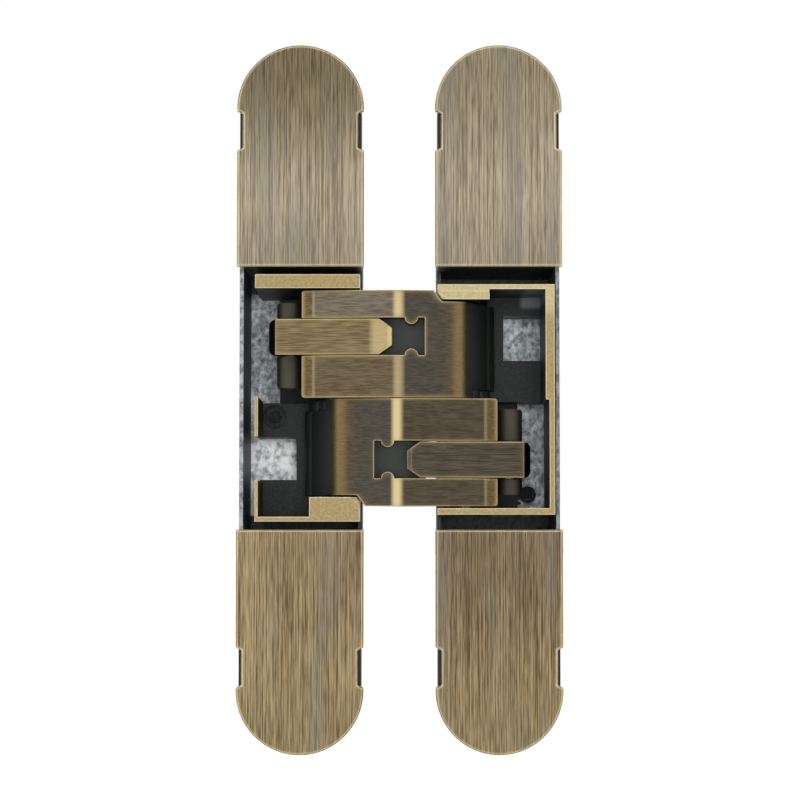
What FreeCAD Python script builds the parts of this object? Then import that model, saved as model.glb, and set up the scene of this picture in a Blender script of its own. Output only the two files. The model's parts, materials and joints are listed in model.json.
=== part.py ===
"""Concealed door hinge, seven axes, shown open flat at 180 degrees.

X runs across the two leaves, Y into the wood and Z up, in millimetres. The front
of the cover plates is at Y = 0 and the origin lies midway between the leaves.
The frame leaf is at -X and the door leaf at +X. Every piece is drawn as it sits
in the frame leaf, and the door side is the same piece turned half round about Y.
"""
import FreeCAD, Part
import math
import os
import Sketcher
from FreeCAD import Placement, Rotation, Vector

doc = FreeCAD.newDocument("concealed_hinge")
sheet = doc.addObject("Spreadsheet::Sheet", "Sizes")

HALF_TURN = Placement(Vector(0, 0, 0), Rotation(Vector(0, 1, 0), 180))


class Size:
    """A length with its present value and the expression that drives it."""

    def __init__(self, value, text):
        self.value = value
        self.text = text

    def __add__(self, other):
        other = as_size(other)
        return Size(self.value + other.value, f"({self.text} + {other.text})")

    def __radd__(self, other):
        return as_size(other) + self

    def __sub__(self, other):
        other = as_size(other)
        return Size(self.value - other.value, f"({self.text} - {other.text})")

    def __rsub__(self, other):
        return as_size(other) - self

    def __mul__(self, other):
        other = as_size(other)
        return Size(self.value * other.value, f"({self.text} * {other.text})")

    def __rmul__(self, other):
        return as_size(other) * self

    def __truediv__(self, other):
        other = as_size(other)
        return Size(self.value / other.value, f"({self.text} / {other.text})")

    def __neg__(self):
        return Size(-self.value, f"(-1 * {self.text})")


def as_size(number):
    if isinstance(number, Size):
        return number
    return Size(float(number), repr(float(number)))


def root(area):
    """The square root of a Size."""
    return Size(math.sqrt(area.value), f"sqrt({area.text})")


def size(alias, value, meaning):
    """Write one driving dimension into the sheet and hand it back as a Size."""
    size.row += 1
    sheet.set(f"A{size.row}", meaning)
    sheet.set(f"B{size.row}", str(value))
    sheet.setAlias(f"B{size.row}", alias)
    return Size(float(value), f"Sizes.{alias}")


size.row = 0

# Leaves and cover plates
leaf_width = size("leaf_width", 24.0, "width of a leaf, over its cover plates")
leaf_height = size("leaf_height", 134.0, "height of a leaf, over its cover plates")
leaf_gap = size("leaf_gap", 13.5, "gap between the two leaves when open flat")
cover_thickness = size("cover_thickness", 1.2, "thickness of a cover plate")
cover_overhang = size("cover_overhang", 0.2, "how far a cover plate reaches over the pocket")
cover_edge_wear = size("cover_edge_wear", 0.3, "chamfer round the front of a cover plate")
notch_height = size("notch_height", 7.5, "height of the side notch in a cover plate")
notch_drop = size("notch_drop", 0.6, "how far the side notch stays below the round end")
notch_depth = size("notch_depth", 1.05, "depth of the side notch in a cover plate")
notch_slope = size("notch_slope", 0.5, "slope at each end of the side notch")

# Leaf bodies
body_margin = size("body_margin", 0.5, "how far the leaf body stays inside the cover plate")
body_front = size("body_front", 1.4, "depth of the front of the leaf body")
end_depth = size("end_depth", 12.5, "depth of the back of the two end lugs")
body_depth = size("body_depth", 29.0, "depth of the back of the deep middle")
deep_inset = size("deep_inset", 19.0, "how far the deep middle stays short of the end of the leaf")
floor_thickness = size("floor_thickness", 1.8, "floor under the pocket")
pocket_height = size("pocket_height", 50.0, "height of the pocket between the cover plates")
inner_wall = size("inner_wall", 0.75, "wall of the pocket towards the other leaf")
frame_outer_wall = size("frame_outer_wall", 0.75, "outer wall of the frame leaf pocket")
door_outer_wall = size("door_outer_wall", 0.7, "outer wall of the door leaf pocket")
mouth_lip = size("mouth_lip", 1.6, "how far the cut in the inner wall stays short of the root axis")
fixing_inset = size("fixing_inset", 8.0, "fixing hole, from the end of the leaf")
fixing_bore = size("fixing_bore", 4.6, "bore of a fixing hole")
fixing_sink = size("fixing_sink", 9.2, "countersink of a fixing hole")
hollow_wall = size("hollow_wall", 4.0, "wall between the pocket and the hollow under a cover plate")
hollow_height = size("hollow_height", 13.0, "height of the hollow under a cover plate")
hollow_width = size("hollow_width", 13.0, "width of the hollow under a cover plate")
hollow_depth = size("hollow_depth", 9.0, "depth of the hollow under a cover plate")

# Spring clips that hold the cover plates
clip_thickness = size("clip_thickness", 0.45, "thickness of the spring clip")
clip_height = size("clip_height", 6.5, "height of the spring clip")
clip_leg = size("clip_leg", 5.0, "length of a leg of the spring clip")
clip_gap = size("clip_gap", 0.1, "gap round the spring clip in the leaf body")
clip_wall = size("clip_wall", 0.6, "wall of the leaf body outside a leg of the clip")

# Linkage, as seen from above with the hinge open flat
root_x = size("root_x", 14.85, "root axis of an arm, from the middle of the hinge")
root_depth = size("root_depth", 14.1, "depth of the root axis")
knuckle_depth = size("knuckle_depth", 5.3, "depth of the centre axis")
tip_x = size("tip_x", 20.85, "tip axis of an arm, from the middle of the hinge")
tip_depth = size("tip_depth", 6.05, "depth of the tip axis")
heel_x = size("heel_x", 12.7, "heel axis of a link, from the middle of the hinge")
heel_depth = size("heel_depth", 9.05, "depth of the heel axis")

# Pins
root_pin = size("root_pin", 1.6, "radius of a root pin")
knuckle_pin = size("knuckle_pin", 1.9, "radius of the centre pin")
tip_pin = size("tip_pin", 1.25, "radius of a tip pin")
heel_pin = size("heel_pin", 1.25, "radius of a heel pin")
pin_play = size("pin_play", 0.03, "running clearance of a pin, on the radius")
heel_play = size("heel_play", 0.95, "clearance of the heel eye on its pin, on the radius")
knuckle_pin_end = size("knuckle_pin_end", 6.9, "half the length of the centre pin")
pin_wall = size("pin_wall", 0.8, "wall of a carrier over the end of a pin")
pin_end_gap = size("pin_end_gap", 0.1, "gap at a pin end that isn't held")

# Arms
arm_gap = size("arm_gap", 0.1, "half the gap between the two arms")
arm_inset = size("arm_inset", 4.6, "how far the far edge of an arm stays inside the pocket")
ridge_depth = size("ridge_depth", 0.0, "depth of the ridge at the middle of the arms")
arm_fall = size("arm_fall", 1.3, "depth of the arm face at its ends")
arm_root_short = size("arm_root_short", 1.85, "how far the arm face stays short of the root axis")
arm_root_round = size("arm_root_round", 2.4, "rounding at the root end of the face")
tip_back = size("tip_back", 2.35, "how far the fork ends stop short of the tip axis")
tip_bevel = size("tip_bevel", 2.2, "width of the bevel at the fork ends")
tip_fall = size("tip_fall", 0.5, "fall of the bevel at the fork ends")
tip_corner = size("tip_corner", 0.5, "rounding of the outer corners of the fork ends")
arm_back = size("arm_back", 4.8, "depth of the back of the fork")
root_wall = size("root_wall", 1.9, "wall of the root barrel round its pin")
knuckle_wall = size("knuckle_wall", 2.1, "wall of the boss round the centre pin")
tip_wall = size("tip_wall", 1.25, "wall of the fork barrels and of a link round the tip pin")
barrel_low = size("barrel_low", 2.0, "height at which the barrels start")
barrel_inset = size("barrel_inset", 2.1, "how far the barrels stay inside the far edge of an arm")
barrel_corner = size("barrel_corner", 0.8, "rounding of the corners of the fork barrels")
sweep_gap = size("sweep_gap", 0.3, "gap between an arm and what it turns round beside")
block_near = size("block_near", 14.75, "radius kept free for the near side of the carrier's block")
block_far = size("block_far", 15.7, "radius kept free for its far side")
fork_width = size("fork_width", 5.2, "width of the far prong of the fork")
slot_width = size("slot_width", 7.15, "width of the fork slot")
slot_end = size("slot_end", 4.8, "closed end of the fork slot, past the middle")
ear_x = size("ear_x", 2.25, "place of the two ears in the slot, past the middle")
ear_rise = size("ear_rise", 1.25, "how far each ear stands into the slot")
web_end = size("web_end", 5.0, "how far the web behind the slot reaches past the middle")
web_depth = size("web_depth", 5.0, "depth of the web behind the slot")
web_wall = size("web_wall", 1.5, "thickness of that web")

# Links
slot_play = size("slot_play", 0.2, "gap between a link and the side of its slot")
link_face = size("link_face", 0.4, "depth of the face of a link at its nose")
link_fall = size("link_fall", 1.6, "depth of the face of a link at its round end")
link_face_end = size("link_face_end", 2.75, "how far the face of a link reaches past the tip axis")
link_nose = size("link_nose", 1.4, "end of the nose, short of the middle")
link_thickness = size("link_thickness", 4.2, "thickness of a link at its nose")
nose_bevel = size("nose_bevel", 0.9, "length of the bevels at the nose")
nose_fall = size("nose_fall", 0.5, "fall of the front bevel at the nose")
link_belly = size("link_belly", 1.2, "how far a link is thin past the web of the arm")
link_reach = size("link_reach", 4.05, "how far the round end of a link stands past the tip axis")
heel_wall = size("heel_wall", 1.1, "wall of a link round its heel pin")
nose_chamfer_long = size("nose_chamfer_long", 2.5, "nose corner, along the link")
nose_chamfer_short = size("nose_chamfer_short", 1.75, "nose corner, across the link")

# Carriers
carrier_front = size("carrier_front", 0.5, "depth of the front rims of a carrier")
seat_gap = size("seat_gap", 0.1, "gap between a carrier and the floor of its pocket")
carrier_plate = size("carrier_plate", 1.6, "thickness of the back plate of a carrier")
carrier_side_gap = size("carrier_side_gap", 0.7, "gap between a carrier and the inner wall")
shelf_gap = size("shelf_gap", 0.9, "gap between a carrier and the top of the low inner wall")
rib_thickness = size("rib_thickness", 1.8, "thickness of the rib between the arms")
rib_wall = size("rib_wall", 1.1, "wall of the rib round the root pin")
bed_gap = size("bed_gap", 1.0, "gap between the root barrel and the bed of a carrier")
bar_gap = size("bar_gap", 0.4, "gap between an arm and the end bars of a carrier")
block_outer = size("block_outer", 17.0, "outer end of the block")
block_facet = size("block_facet", 1.5, "width of the lower facet of the door carrier's block")
block_facet_drop = size("block_facet_drop", 0.35, "drop of that facet behind the other")

# Clear travel of a cutting tool past the face that it cuts
overcut = size("overcut", 1.0, "how far a cut runs past the face that it opens")

doc.recompute()


def bind(thing, name, amount):
    """Give a property its value, driven by the sheet."""
    thing.setExpression(name, as_size(amount).text)


def put(thing, x, y, z):
    bind(thing, "Placement.Base.x", x)
    bind(thing, "Placement.Base.y", y)
    bind(thing, "Placement.Base.z", z)


def box(x, y, z):
    """A block between pairs of coordinates, each pair lowest first."""
    block = doc.addObject("Part::Box", "block")
    bind(block, "Length", x[1] - x[0])
    bind(block, "Width", y[1] - y[0])
    bind(block, "Height", z[1] - z[0])
    put(block, x[0], y[0], z[0])
    return block


def upright(x, y, z, radius):
    """A cylinder along Z between two heights."""
    round_bar = doc.addObject("Part::Cylinder", "upright")
    bind(round_bar, "Radius", radius)
    bind(round_bar, "Height", z[1] - z[0])
    put(round_bar, x, y, z[0])
    return round_bar


def inward(x, z, y, radius):
    """A cylinder along Y between two depths."""
    round_bar = doc.addObject("Part::Cylinder", "inward")
    round_bar.Placement = Placement(Vector(0, 0, 0), Rotation(Vector(1, 0, 0), -90))
    bind(round_bar, "Radius", radius)
    bind(round_bar, "Height", y[1] - y[0])
    put(round_bar, x, y[0], z)
    return round_bar


PLANES = {
    "plan": (Rotation(), Vector(0, 0, 1), "Placement.Base.z"),
    "face": (Rotation(Vector(1, 0, 0), 90), Vector(0, 1, 0), "Placement.Base.y"),
}


def prism(plane, span, corners):
    """Extrude a closed outline between two levels.

    A corner is (u, v), or (u, v, centre u, centre v, turn) where an arc leads to the
    next corner, turning "left" or "right". Every corner is held by two dimensions.
    """
    rotation, direction, level = PLANES[plane]
    sketch = doc.addObject("Sketcher::SketchObject", "outline")
    sketch.Placement = Placement(Vector(0, 0, 0), rotation)
    bind(sketch, level, span[0])
    corners = [tuple(as_size(part) if part not in ("left", "right") else part for part in corner)
               for corner in corners]
    count = len(corners)
    for number, corner in enumerate(corners):
        following = corners[(number + 1) % count]
        start = Vector(corner[0].value, corner[1].value, 0)
        end = Vector(following[0].value, following[1].value, 0)
        if len(corner) == 2:
            sketch.addGeometry(Part.LineSegment(start, end), False)
        else:
            centre = Vector(corner[2].value, corner[3].value, 0)
            sketch.addGeometry(arc_between(start, end, centre, corner[4]), False)
    for number, corner in enumerate(corners):
        join_corner(sketch, corners, number)
    solid = doc.addObject("Part::Extrusion", "prism")
    solid.Base = sketch
    solid.DirMode = "Custom"
    solid.Dir = direction
    solid.Solid = True
    bind(solid, "LengthFwd", span[1] - span[0])
    return solid


def arc_between(start, end, centre, turn):
    first = math.atan2(start.y - centre.y, start.x - centre.x)
    last = math.atan2(end.y - centre.y, end.x - centre.x)
    if turn == "right":
        first, last = last, first
    circle = Part.Circle(centre, Vector(0, 0, 1), start.distanceToPoint(centre))
    return Part.ArcOfCircle(circle, first, last)


def end_points(corner):
    """Which ends of a sketch edge are its start and its end along the outline."""
    backwards = len(corner) > 2 and corner[4] == "right"
    return (2, 1) if backwards else (1, 2)


def join_corner(sketch, corners, number):
    corner = corners[number]
    before = (number - 1) % len(corners)
    start = end_points(corner)[0]
    end_before = end_points(corners[before])[1]
    sketch.addConstraint(Sketcher.Constraint("Coincident", before, end_before, number, start))
    for kind, amount in (("DistanceX", corner[0]), ("DistanceY", corner[1])):
        hold(sketch, kind, number, start, amount)
    if len(corner) > 2:
        following = corners[(number + 1) % len(corners)]
        across = abs(following[0].value - corner[0].value)
        along = abs(following[1].value - corner[1].value)
        if across >= along:
            hold(sketch, "DistanceY", number, 3, corner[3])
        else:
            hold(sketch, "DistanceX", number, 3, corner[2])


def hold(sketch, kind, edge, point, amount):
    """Hold one coordinate of a sketch point to the origin, driven by the sheet."""
    index = sketch.addConstraint(Sketcher.Constraint(kind, -1, 1, edge, point, amount.value))
    sketch.setExpression(f"Constraints[{index}]", amount.text)


def fuse(*parts):
    whole = doc.addObject("Part::MultiFuse", "fused")
    whole.Shapes = list(parts)
    whole.Refine = True
    return whole


def common(*parts):
    shared = doc.addObject("Part::MultiCommon", "shared")
    shared.Shapes = list(parts)
    return shared


def cut(whole, *tools):
    rest = doc.addObject("Part::Cut", "cut")
    rest.Base = whole
    rest.Tool = tools[0] if len(tools) == 1 else fuse(*tools)
    rest.Refine = True
    return rest


pieces = []


def piece(name, solid, turned=False):
    """Name a finished piece, turned half round about Y for the door side."""
    solid.Label = name
    if turned:
        solid.Placement = HALF_TURN.multiply(solid.Placement)
    pieces.append(solid)
    return solid


def side_name(turned):
    return "door" if turned else "frame"


pocket_half = pocket_height / 2
pocket_floor = body_depth - floor_thickness
mouth_depth = root_depth - mouth_lip
arm_edge = pocket_half - arm_inset
barrel_high = arm_edge - barrel_inset
slot_high = arm_edge - fork_width
slot_low = slot_high - slot_width
link_low = slot_low + slot_play
link_high = slot_high - slot_play
root_barrel = root_pin + root_wall
knuckle_boss = knuckle_pin + knuckle_wall
tip_barrel = tip_pin + tip_wall
heel_eye = heel_pin + heel_play + heel_wall
rib_lug = root_pin + rib_wall
heel_across = root_x - heel_x
heel_along = root_depth - heel_depth
rib_room = root(heel_across * heel_across + heel_along * heel_along) + rib_lug + sweep_gap
arm_tip_end = tip_x - tip_back
carrier_back = pocket_floor - seat_gap
bed_depth = root_depth + root_barrel + bed_gap

leaf_inner = -leaf_gap / 2
leaf_outer = leaf_inner - leaf_width
leaf_middle = leaf_inner - leaf_width / 2
leaf_radius = leaf_width / 2
arc_height = leaf_height / 2 - leaf_radius


def leaf_body(turned, *extra_tools):
    """The die-cast body of a leaf: two shallow end lugs and a deep middle with its pocket."""
    outer_wall = door_outer_wall if turned else frame_outer_wall
    radius = leaf_radius - body_margin
    lugs = stadium(radius, arc_height, (body_front, end_depth))
    deep = stadium(radius, leaf_height / 2 - deep_inset - radius, (body_front, body_depth))
    pocket_outer = leaf_outer + body_margin + outer_wall
    pocket_inner = leaf_inner - body_margin - inner_wall
    pocket = box((pocket_outer, pocket_inner), (0, pocket_floor), (-pocket_half, pocket_half))
    mouth = box((pocket_inner - overcut, leaf_inner), (0, mouth_depth), (-pocket_half, pocket_half))
    tools = [pocket, mouth, *extra_tools]
    for end in (1, -1):
        tools += fixing_hole(end) + clip_seat(end)
        low, high = (hollow_low, hollow_high) if end > 0 else (-hollow_high, -hollow_low)
        across = (leaf_middle - hollow_width / 2, leaf_middle + hollow_width / 2)
        tools.append(box(across, (0, hollow_depth), (low, high)))
    body = cut(fuse(lugs, deep), *tools)
    return piece(side_name(turned) + "_leaf_body", body, turned)


def stadium(radius, half_straight, span):
    left = leaf_middle - radius
    right = leaf_middle + radius
    return prism("face", span, [
        (left, half_straight),
        (left, -half_straight, leaf_middle, -half_straight, "left"),
        (right, -half_straight),
        (right, half_straight, leaf_middle, half_straight, "left"),
    ])


def fixing_hole(end):
    """A countersunk hole through an end lug."""
    height = (leaf_height / 2 - fixing_inset) * end
    bore = inward(leaf_middle, height, (0, end_depth + overcut), fixing_bore / 2)
    sink = doc.addObject("Part::Cone", "sink")
    sink.Placement = Placement(Vector(0, 0, 0), Rotation(Vector(1, 0, 0), -90))
    bind(sink, "Radius1", fixing_sink / 2)
    bind(sink, "Radius2", fixing_bore / 2)
    bind(sink, "Height", (fixing_sink - fixing_bore) / 2)
    put(sink, leaf_middle, body_front, height)
    return [bore, sink]


clip_back = cover_thickness + clip_thickness
clip_outer = leaf_outer + body_margin + clip_wall
clip_inner = leaf_inner - body_margin - clip_wall
notch_high = arc_height - notch_drop
notch_low = notch_high - notch_height
clip_middle = (notch_low + notch_high) / 2
cover_inner_end = pocket_half - cover_overhang
hollow_low = pocket_half + hollow_wall
hollow_high = hollow_low + hollow_height


def clip_heights(end, spare=0):
    reach = clip_height / 2 + spare
    if end > 0:
        return (clip_middle - reach, clip_middle + reach)
    return (-clip_middle - reach, -clip_middle + reach)


def clip_seat(end):
    """The shallow seat and the two slots that take a spring clip."""
    heights = clip_heights(end, clip_gap)
    leg = clip_back + clip_leg + clip_gap
    slot = clip_thickness + clip_gap
    return [
        box((clip_outer - clip_gap, clip_inner + clip_gap), (0, clip_back + clip_gap), heights),
        box((clip_outer - clip_gap, clip_outer + slot), (0, leg), heights),
        box((clip_inner - slot, clip_inner + clip_gap), (0, leg), heights),
    ]


def cover_clip(turned, end):
    """A strip of spring steel with two legs, fixed behind a cover plate."""
    heights = clip_heights(end)
    legs = (cover_thickness, clip_back + clip_leg)
    web = box((clip_outer, clip_inner), (cover_thickness, clip_back), heights)
    outer_leg = box((clip_outer, clip_outer + clip_thickness), legs, heights)
    inner_leg = box((clip_inner - clip_thickness, clip_inner), legs, heights)
    name = f"{side_name(turned)}_{'lower' if (end > 0) == turned else 'upper'}_clip"
    return piece(name, fuse(web, outer_leg, inner_leg), turned)


def cover_plate(turned, end):
    """A brushed plate with one round end, a straight end and two side notches."""
    left, right = leaf_outer, leaf_inner
    corners = [
        (left, cover_inner_end), (right, cover_inner_end),
        (right, notch_low), (right - notch_depth, notch_low + notch_slope),
        (right - notch_depth, notch_high - notch_slope), (right, notch_high),
        (right, arc_height, leaf_middle, arc_height, "left"), (left, arc_height),
        (left, notch_high), (left + notch_depth, notch_high - notch_slope),
        (left + notch_depth, notch_low + notch_slope), (left, notch_low),
    ]
    plate = prism("face", (as_size(0), cover_thickness), corners)
    if end < 0:
        flipped = doc.addObject("Part::Mirroring", "flipped")
        flipped.Source = plate
        flipped.Normal = Vector(0, 0, 1)
        plate = flipped
    doc.recompute()
    worn = doc.addObject("Part::Chamfer", "worn")
    worn.Base = plate
    worn.Edges = [(number, cover_edge_wear.value, cover_edge_wear.value)
                  for number, edge in enumerate(plate.Shape.Edges, 1)
                  if edge.BoundBox.YMax < cover_thickness.value / 2]
    name = f"{side_name(turned)}_{'lower' if (end > 0) == turned else 'upper'}_cover"
    return piece(name, worn, turned)


def corner_cutter(x, z, side_x, side_z, radius, span):
    """Takes the outside off a corner at (x, z) to round it; the piece lies on the given sides."""
    turn = "right" if side_x * side_z > 0 else "left"
    inner_x = x + side_x * radius
    inner_z = z + side_z * radius
    outer_x = x - side_x * overcut
    outer_z = z - side_z * overcut
    return prism("face", span, [
        (inner_x, z, inner_x, inner_z, turn), (x, inner_z),
        (outer_x, inner_z), (outer_x, outer_z), (inner_x, outer_z),
    ])


def cone(x, depth, z, low_radius, high_radius):
    """A cone along Z between two heights."""
    taper = doc.addObject("Part::Cone", "cone")
    bind(taper, "Radius1", low_radius)
    bind(taper, "Radius2", high_radius)
    bind(taper, "Height", z[1] - z[0])
    put(taper, x, depth, z[0])
    return taper


def arm(name, turned):
    """A forked arm, drawn with its root in the frame leaf and its fork to the right."""
    root_end = root_x - arm_root_short
    face_end = root_end - arm_root_round
    seam = arm_tip_end - tip_bevel
    past_tip = tip_x + tip_barrel + overcut
    behind_tip = tip_depth + tip_barrel + overcut
    body = prism("plan", (-arm_edge, -arm_gap), [
        (-root_x - root_barrel, root_depth),
        (-root_end, arm_fall + arm_root_round, -face_end, arm_fall + arm_root_round, "left"),
        (-face_end, arm_fall),
        (0, ridge_depth),
        (seam, arm_fall),
        (arm_tip_end, arm_fall + tip_fall),
        (arm_tip_end, tip_depth),
        (tip_x, tip_depth + tip_barrel),
        (tip_x - 2 * tip_barrel, arm_back),
        (web_end + web_wall, arm_back),
        (web_end, web_depth + web_wall),
        (-knuckle_boss, knuckle_depth + knuckle_boss),
        (-root_x + root_barrel, root_depth),
        (-root_x, root_depth),
    ])
    root_barrel_bar = upright(-root_x, root_depth, (-barrel_high, -barrel_low), root_barrel)
    boss = upright(as_size(0), knuckle_depth, (-arm_edge, -arm_gap), knuckle_boss)
    tips = upright(tip_x, tip_depth, (-barrel_high, -barrel_low), tip_barrel)
    rib_clear = upright(-root_x, root_depth, (-barrel_low, overcut), rib_room)
    block_clear = cone(-root_x, root_depth, (-arm_edge, -barrel_high), block_far, block_near)
    face_span = (-overcut, behind_tip)
    steps = [
        box((arm_tip_end, past_tip), (arm_fall + tip_fall, behind_tip), (-barrel_low, overcut)),
        box((arm_tip_end, past_tip), (arm_fall + tip_fall, behind_tip), (-arm_edge - overcut, -barrel_high)),
        corner_cutter(arm_tip_end, -arm_edge, -1, 1, tip_corner, face_span),
        corner_cutter(arm_tip_end, -arm_gap, -1, -1, tip_corner, face_span),
        corner_cutter(tip_x + tip_barrel, -barrel_high, -1, 1, barrel_corner, face_span),
        corner_cutter(tip_x + tip_barrel, -barrel_low, -1, -1, barrel_corner, face_span),
    ]
    centre_bore = knuckle_pin + pin_play if turned else knuckle_pin
    holes = [
        upright(-root_x, root_depth, (-arm_edge, as_size(0)), root_pin + pin_play),
        upright(as_size(0), knuckle_depth, (-knuckle_pin_end - pin_end_gap, as_size(0)), centre_bore),
        upright(tip_x, tip_depth, (-arm_edge, as_size(0)), tip_pin),
    ]
    solid = fuse(body, root_barrel_bar, boss, tips)
    return piece(name, cut(solid, slot(), rib_clear, block_clear, *steps, *holes), turned)


def slot():
    """The fork slot, with two round ears a little in from its closed end."""
    middle = -(slot_high + slot_low) / 2
    heights = (-slot_high, -slot_low)
    before_web = (-overcut, web_depth)
    through_fork = (-overcut, tip_depth + tip_barrel + overcut)
    through = box((web_end, tip_x + tip_barrel + overcut), through_fork, heights)
    blind = box((-slot_end, web_end + overcut), before_web, heights)
    ears = [inward(-ear_x, middle + side * slot_width / 2, before_web, ear_rise) for side in (1, -1)]
    return cut(fuse(through, blind), *ears)


def link(name, turned):
    """A link with its nose in the fork slot; its heel eye sits loose on the heel pin."""
    heights = (link_low, link_high)
    face_end = tip_x + link_face_end
    link_end = tip_x + link_reach
    step_foot = tip_depth - root(link_reach * link_reach - link_face_end * link_face_end)
    nose_back = link_face + link_thickness
    body = prism("plan", heights, [
        (-link_end, tip_depth, -tip_x, tip_depth, "left"),
        (-face_end, step_foot),
        (-face_end, link_fall),
        (-link_nose - nose_bevel, link_face),
        (-link_nose, link_face + nose_fall),
        (-link_nose, nose_back - nose_bevel),
        (-link_nose - nose_bevel, nose_back),
        (-web_end - link_belly, nose_back),
        (-heel_x + heel_eye, heel_depth),
        (-heel_x, heel_depth + heel_eye),
        (-tip_x, tip_depth + tip_barrel),
    ])
    tip_eye = upright(-tip_x, tip_depth, heights, tip_barrel)
    heel = upright(-heel_x, heel_depth, heights, heel_eye)
    span = (-overcut, nose_back + overcut)
    corners = []
    for near, side in ((link_low, 1), (link_high, -1)):
        corners.append(prism("face", span, [
            (-link_nose - nose_chamfer_long, near - side * overcut),
            (-link_nose + overcut, near - side * overcut),
            (-link_nose + overcut, near + side * nose_chamfer_short),
            (-link_nose, near + side * nose_chamfer_short),
            (-link_nose - nose_chamfer_long, near),
        ]))
        corners.append(corner_cutter(-link_end, near, 1, side, link_reach - link_face_end,
                                     (-overcut, tip_depth + tip_barrel)))
    bores = [
        upright(-tip_x, tip_depth, heights, tip_pin + pin_play),
        upright(-heel_x, heel_depth, heights, heel_pin + heel_play),
    ]
    return piece(name, cut(fuse(body, tip_eye, heel), *corners, *bores), turned)


def carrier(turned, rim):
    """The carrier that sits in a leaf pocket and holds the root pin and the heel pin."""
    outer = -rim["outer"]
    inner = -rim["inner"]
    step = leaf_inner - body_margin - inner_wall - carrier_side_gap
    top = rim["top"]
    bottom = -rim["bottom"]
    bar_inside = arm_edge + bar_gap
    front = (carrier_front, carrier_back)
    shelf_depth = mouth_depth - shelf_gap
    shelf = (carrier_front, shelf_depth)
    back = box((-rim["plate_outer"], step), (carrier_back - carrier_plate, carrier_back), (bottom, top))
    top_height = (bar_inside, top)
    top_bar = box((outer, step), front, top_height)
    bars = [cut(top_bar, *rim["recess"]) if rim["recess"] else top_bar, box((step, inner), shelf, top_height)]
    base_height = (bottom, bottom + rim["base"])
    bars += [box((outer, step), front, base_height), box((step, inner), shelf, base_height)]
    bed = box((outer, step), (bed_depth, carrier_back), (bottom + rim["base"], -arm_gap))
    rim_depth = (carrier_front, bed_depth + overcut)
    sides = [box((outer, outer + width), rim_depth, z) for width, z in rim["sides"]]
    rib_height = (-arm_gap - rib_thickness, -arm_gap)
    rib = prism("plan", rib_height, [
        (-root_x - rib_lug, carrier_back), (-root_x - rib_lug, root_depth),
        (-root_x, root_depth - rib_lug), (-heel_x, heel_depth - rib_lug),
        (-heel_x + rib_lug, heel_depth), (step, shelf_depth + rib_thickness), (step, carrier_back),
    ])
    lugs = [upright(-root_x, root_depth, rib_height, rib_lug)]
    lugs.append(upright(-heel_x, heel_depth, rib_height, rib_lug))
    block_x = (-block_outer, step)
    block_edge = barrel_high + bar_gap
    lower_block = (bottom, -arm_edge - arm_gap)
    upper_block = (-arm_edge - arm_gap, -block_edge)
    far_reach = block_far - sweep_gap
    reach = cone(-root_x, root_depth, (-arm_edge - arm_gap, -barrel_high), far_reach, block_near - sweep_gap)
    block = [
        box(block_x, front, lower_block), box((step, inner), shelf, lower_block),
        common(fuse(box(block_x, front, upper_block), box((step, inner), shelf, upper_block)), reach),
    ]
    holes = [
        upright(-root_x, root_depth, (bottom + pin_wall, as_size(0)), root_pin),
        upright(-heel_x, heel_depth, (rib_height[0], top - pin_wall), heel_pin),
    ]
    if turned:
        facet = (-block_edge - block_facet, -block_edge + overcut)
        facet_depth = (carrier_front - overcut, carrier_front + block_facet_drop)
        holes.append(box((-block_outer, inner + overcut), facet_depth, facet))
    solid = fuse(back, *bars, bed, *sides, rib, *lugs, *block, *rim["teeth"])
    return piece(side_name(turned) + "_carrier", cut(solid, *holes, *rim["tools"]), turned)


def pin(name, x, depth, heights, radius, turned=False):
    """A plain pin; the door side's one lies half a turn round from the place given."""
    if turned:
        x = -x
        heights = (-heights[1], -heights[0])
    return piece(name, upright(x, depth, heights, radius))


def hexagon(x, z, flats, span):
    """A six-sided socket, two of its flats level."""
    half = flats / 2
    point = flats / root(as_size(3))
    return prism("face", span, [
        (x - point, z), (x - point / 2, z - half), (x + point / 2, z - half),
        (x + point, z), (x + point / 2, z + half), (x - point / 2, z + half),
    ])


def rack_teeth(x, z, span, count):
    """Rack teeth that point outwards, the gap in their middle level with the pinion."""
    half = tooth_pitch / 4 - tooth_play
    tip = half - tooth_height * TOOTH_SLOPE
    foot = half + tooth_foot * TOOTH_SLOPE
    teeth = []
    for number in range(count):
        middle = z + tooth_pitch * (number - (count - 1) / 2)
        teeth.append(prism("face", span, [
            (x + tooth_foot + overcut, middle - foot), (x + tooth_foot + overcut, middle + foot),
            (x + tooth_foot, middle + foot), (x - tooth_height, middle + tip),
            (x - tooth_height, middle - tip), (x + tooth_foot, middle - foot),
        ]))
    return teeth


def pinion(x, z, span):
    """A small pinion, one of its teeth pointing at the middle of the hinge."""
    rings = ((pinion_radius - tooth_foot, FOOT_ANGLE), (pinion_radius, PITCH_ANGLE),
             (pinion_radius + tooth_height, TIP_ANGLE))
    corners = []
    for number in range(PINION_TEETH):
        middle = 360 * number / PINION_TEETH
        for side in (-1, 1):
            for radius, spread in rings[::-side]:
                angle = math.radians(middle + side * spread)
                corners.append((x + radius * math.cos(angle), z + radius * math.sin(angle)))
    return prism("face", span, corners)


def pocket_outer(wall):
    """The outer side of the pocket, from the middle of the hinge."""
    return leaf_gap / 2 + leaf_width - body_margin - wall


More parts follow.
